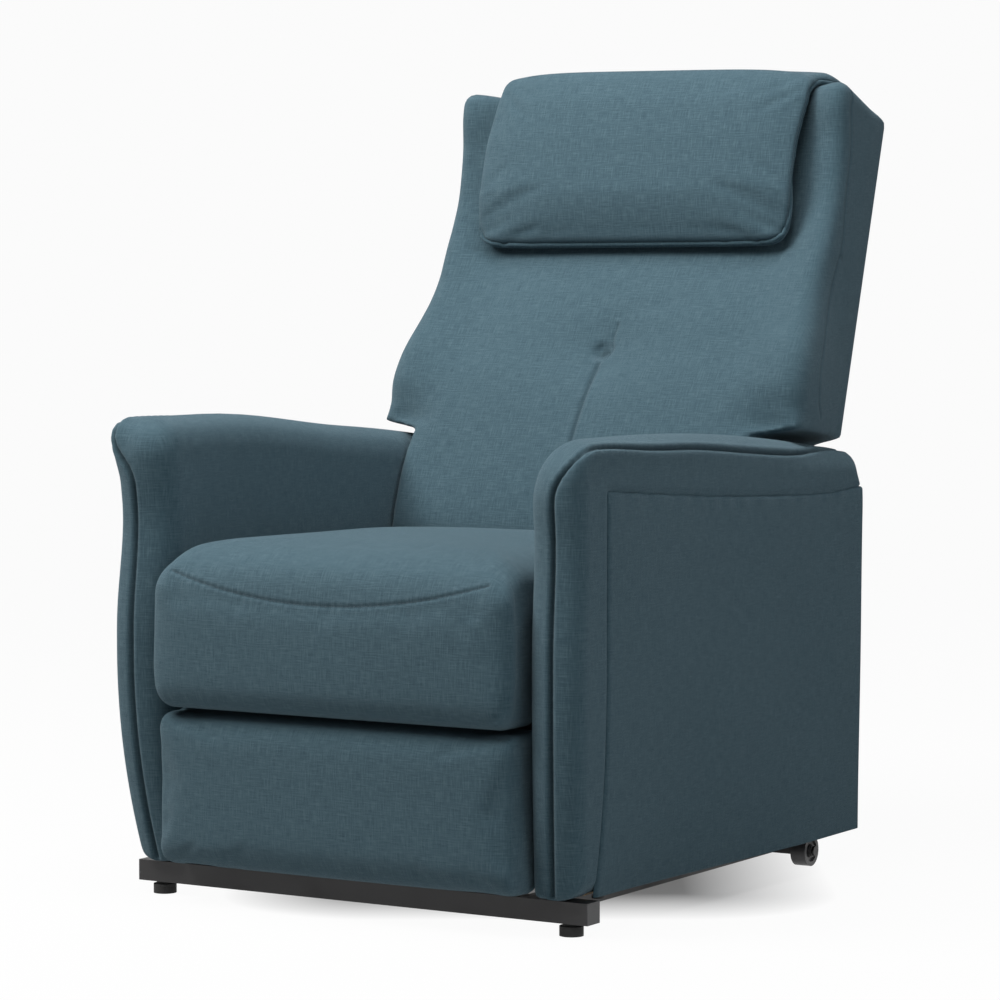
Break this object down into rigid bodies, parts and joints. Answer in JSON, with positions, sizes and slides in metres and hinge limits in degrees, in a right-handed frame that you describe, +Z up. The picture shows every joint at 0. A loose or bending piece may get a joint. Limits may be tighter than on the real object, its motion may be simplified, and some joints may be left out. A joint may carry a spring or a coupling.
{
  "type": "lift recliner chair",
  "caption": "Powered lift recliner chair in slate blue woven fabric with a tufted back, draped head pillow, rounded arms, fold-out legrest and a black steel lift base.",
  "frame": {"origin": "on the floor under the middle of the chair's bounding box", "axes": "+X to the sitter's left, +Y to the chair's rear, +Z up"},
  "size_m": [0.7, 0.9602, 1.0942],
  "materials": {
    "frame_black": "satin black powder coat on the base, side plates and cross bars",
    "link_steel": "dark coated steel links",
    "ram_steel": "plated steel actuator rams",
    "plywood": "bare plywood and softwood of the inner frame",
    "fabric_blue": "woven slate blue-grey upholstery",
    "webbing": "natural coloured elastic webbing",
    "black_plastic": "black plastic feet, caps, wheels and housings",
    "spring_steel": "oiled steel zigzag springs",
    "light_plastic": "pale grey rocker buttons"
  },
  "bodies": {
    "base": {"base_front_rail": "frame_black", "base_rail_caps": "black_plastic", "base_side_rail_left": "frame_black", "base_side_rail_right": "frame_black", "base_rear_rail": "frame_black", "lift_bracket_left": "frame_black", "lift_bracket_right": "frame_black", "lift_clevis": "frame_black", "front_feet": "black_plastic"},
    "wheel_left": {"rear_wheel_left": "black_plastic"},
    "wheel_right": {"rear_wheel_right": "black_plastic"},
    "lift_long_links": {"lift_long_link_left": "link_steel", "lift_long_link_right": "link_steel", "lift_cross_tube": "frame_black"},
    "lift_short_links": {"lift_short_link_left": "link_steel", "lift_short_link_right": "link_steel"},
    "lift_actuator_body": {"lift_actuator": "black_plastic"},
    "lift_actuator_ram": {"lift_actuator_rod": "ram_steel"},
    "chair": {"side_plate_left": "frame_black", "side_plate_right": "frame_black", "crossbar_front": "frame_black", "crossbar_rear": "frame_black", "seat_rails": "plywood", "seat_cross_rails": "plywood", "seat_springs": "spring_steel", "seat_cushion": "fabric_blue", "arm_left": "fabric_blue", "arm_right": "fabric_blue", "arm_boards": "plywood", "side_panel_left": "fabric_blue", "side_panel_right": "fabric_blue", "arm_spacers": "link_steel", "arm_glides": "black_plastic", "rear_apron": "fabric_blue", "control_box": "black_plastic", "power_supply": "black_plastic"},
    "legrest_drive": {"legrest_drive_links": "link_steel", "legrest_torque_tube": "link_steel"},
    "legrest_carrier": {"legrest_bars": "link_steel"},
    "legrest_idler": {"legrest_idlers": "link_steel"},
    "legrest_stay": {"legrest_stay_links": "link_steel"},
    "legrest_panel": {"legrest_brackets": "link_steel", "legrest_board": "plywood", "legrest_pad": "fabric_blue"},
    "legrest_actuator_body": {"legrest_actuator": "black_plastic"},
    "legrest_actuator_ram": {"legrest_actuator_rod": "ram_steel"},
    "back": {"back_brackets": "frame_black", "back_posts": "plywood", "back_rails": "plywood", "back_webbing": "webbing", "back_cushion": "fabric_blue", "back_wings": "fabric_blue", "back_shell": "fabric_blue"},
    "back_actuator_body": {"back_actuator": "black_plastic"},
    "back_actuator_ram": {"back_actuator_rod": "ram_steel"},
    "pillow": {"head_pillow": "fabric_blue"},
    "hand_control": {"handset": "black_plastic"},
    "lift_rocker": {"rocker_lift": "light_plastic"},
    "legrest_rocker": {"rocker_legrest": "light_plastic"},
    "back_rocker": {"rocker_back": "light_plastic"}
  },
  "joints": [
    {"name": "lift", "type": "hinge", "parent": "base", "child": "lift_long_links", "pos_m": [0, -0.27905, 0.087], "axis": [1, 0, 0], "range_deg": [0, 70]},
    {"name": "chair_on_long_links", "type": "hinge", "parent": "lift_long_links", "child": "chair", "pos_m": [0, 0.06395, 0.09], "axis": [1, 0, 0], "range_deg": [-47, 0]},
    {"name": "short_links_on_base", "type": "hinge", "parent": "base", "child": "lift_short_links", "pos_m": [0, -0.35505, 0.083], "axis": [1, 0, 0], "range_deg": [0, 77.4]},
    {"name": "lift_actuator_on_base", "type": "hinge", "parent": "base", "child": "lift_actuator_body", "pos_m": [0, -0.36005, 0.06], "axis": [1, 0, 0], "range_deg": [0, 55.5]},
    {"name": "lift_ram_on_crossbar", "type": "hinge", "parent": "chair", "child": "lift_actuator_ram", "pos_m": [0, -0.06005, 0.25], "axis": [1, 0, 0], "range_deg": [0, 32.4]},
    {"name": "legrest", "type": "hinge", "parent": "chair", "child": "legrest_drive", "pos_m": [0, -0.21705, 0.221], "axis": [-1, 0, 0], "range_deg": [0, 85]},
    {"name": "carrier_on_drive", "type": "hinge", "parent": "legrest_drive", "child": "legrest_carrier", "pos_m": [0, -0.16605, 0.071], "axis": [-1, 0, 0], "range_deg": [-85, 0]},
    {"name": "panel_on_carrier", "type": "hinge", "parent": "legrest_carrier", "child": "legrest_panel", "pos_m": [0, -0.39305, 0.21], "axis": [-1, 0, 0], "range_deg": [0, 85]},
    {"name": "idler_on_plate", "type": "hinge", "parent": "chair", "child": "legrest_idler", "pos_m": [0, -0.09105, 0.227], "axis": [-1, 0, 0], "range_deg": [0, 85]},
    {"name": "stay_on_drive", "type": "hinge", "parent": "legrest_drive", "child": "legrest_stay", "pos_m": [0, -0.16605, 0.029], "axis": [-1, 0, 0], "range_deg": [-85, 0]},
    {"name": "legrest_actuator_on_crossbar", "type": "hinge", "parent": "chair", "child": "legrest_actuator_body", "pos_m": [0, 0.09995, 0.17], "axis": [-1, 0, 0], "range_deg": [0, 1]},
    {"name": "legrest_ram_on_crank", "type": "hinge", "parent": "legrest_drive", "child": "legrest_actuator_ram", "pos_m": [0, -0.1964, 0.19151], "axis": [-1, 0, 0], "range_deg": [-84.5, 0]},
    {"name": "recline", "type": "hinge", "parent": "chair", "child": "back", "pos_m": [0, 0.17995, 0.3], "axis": [-1, 0, 0], "range_deg": [0, 40]},
    {"name": "back_actuator_on_crossbar", "type": "hinge", "parent": "chair", "child": "back_actuator_body", "pos_m": [0, -0.06005, 0.25], "axis": [-1, 0, 0], "range_deg": [0, 5.8]},
    {"name": "back_ram_on_lever", "type": "hinge", "parent": "back", "child": "back_actuator_ram", "pos_m": [0, 0.23357, 0.255], "axis": [-1, 0, 0], "range_deg": [-34.5, 0]},
    {"name": "head_pillow_height", "type": "slide", "parent": "back", "child": "pillow", "axis": [0, 0.2974, 0.9548], "range_m": [0, 0.06]},
    {"name": "wheel_left_spin", "type": "hinge", "parent": "base", "child": "wheel_left", "pos_m": [-0.315, 0.22495, 0.021], "axis": [1, 0, 0], "continuous": true},
    {"name": "wheel_right_spin", "type": "hinge", "parent": "base", "child": "wheel_right", "pos_m": [0.315, 0.22495, 0.021], "axis": [1, 0, 0], "continuous": true},
    {"name": "hand_control_lift_out", "type": "slide", "parent": "chair", "child": "hand_control", "axis": [0, 0, 1], "range_m": [0, 0.1]},
    {"name": "back_rocker_press", "type": "hinge", "parent": "hand_control", "child": "back_rocker", "pos_m": [-0.3425, -0.08905, 0.358], "axis": [0, 1, 0], "range_deg": [-6, 6], "stiffness_Nm_per_rad": 0.05},
    {"name": "legrest_rocker_press", "type": "hinge", "parent": "hand_control", "child": "legrest_rocker", "pos_m": [-0.3425, -0.08905, 0.3806], "axis": [0, 1, 0], "range_deg": [-6, 6], "stiffness_Nm_per_rad": 0.05},
    {"name": "lift_rocker_press", "type": "hinge", "parent": "hand_control", "child": "lift_rocker", "pos_m": [-0.3425, -0.08905, 0.4032], "axis": [0, 1, 0], "range_deg": [-6, 6], "stiffness_Nm_per_rad": 0.05}
  ],
  "couplings": [
    {"joint": "chair_on_long_links", "follows": "lift", "ratio": -0.66928},
    {"joint": "short_links_on_base", "follows": "lift", "ratio": 1.1038},
    {"joint": "lift_actuator_on_base", "follows": "lift", "ratio": 0.79},
    {"joint": "lift_ram_on_crossbar", "follows": "lift", "ratio": 0.45928},
    {"joint": "carrier_on_drive", "follows": "legrest", "ratio": -1},
    {"joint": "panel_on_carrier", "follows": "legrest", "ratio": 1},
    {"joint": "idler_on_plate", "follows": "legrest", "ratio": 1},
    {"joint": "stay_on_drive", "follows": "legrest", "ratio": -1},
    {"joint": "legrest_actuator_on_crossbar", "follows": "legrest", "ratio": 0.007},
    {"joint": "legrest_ram_on_crank", "follows": "legrest", "ratio": -0.993},
    {"joint": "back_actuator_on_crossbar", "follows": "recline", "ratio": 0.1415},
    {"joint": "back_ram_on_lever", "follows": "recline", "ratio": -0.8585}
  ]
}
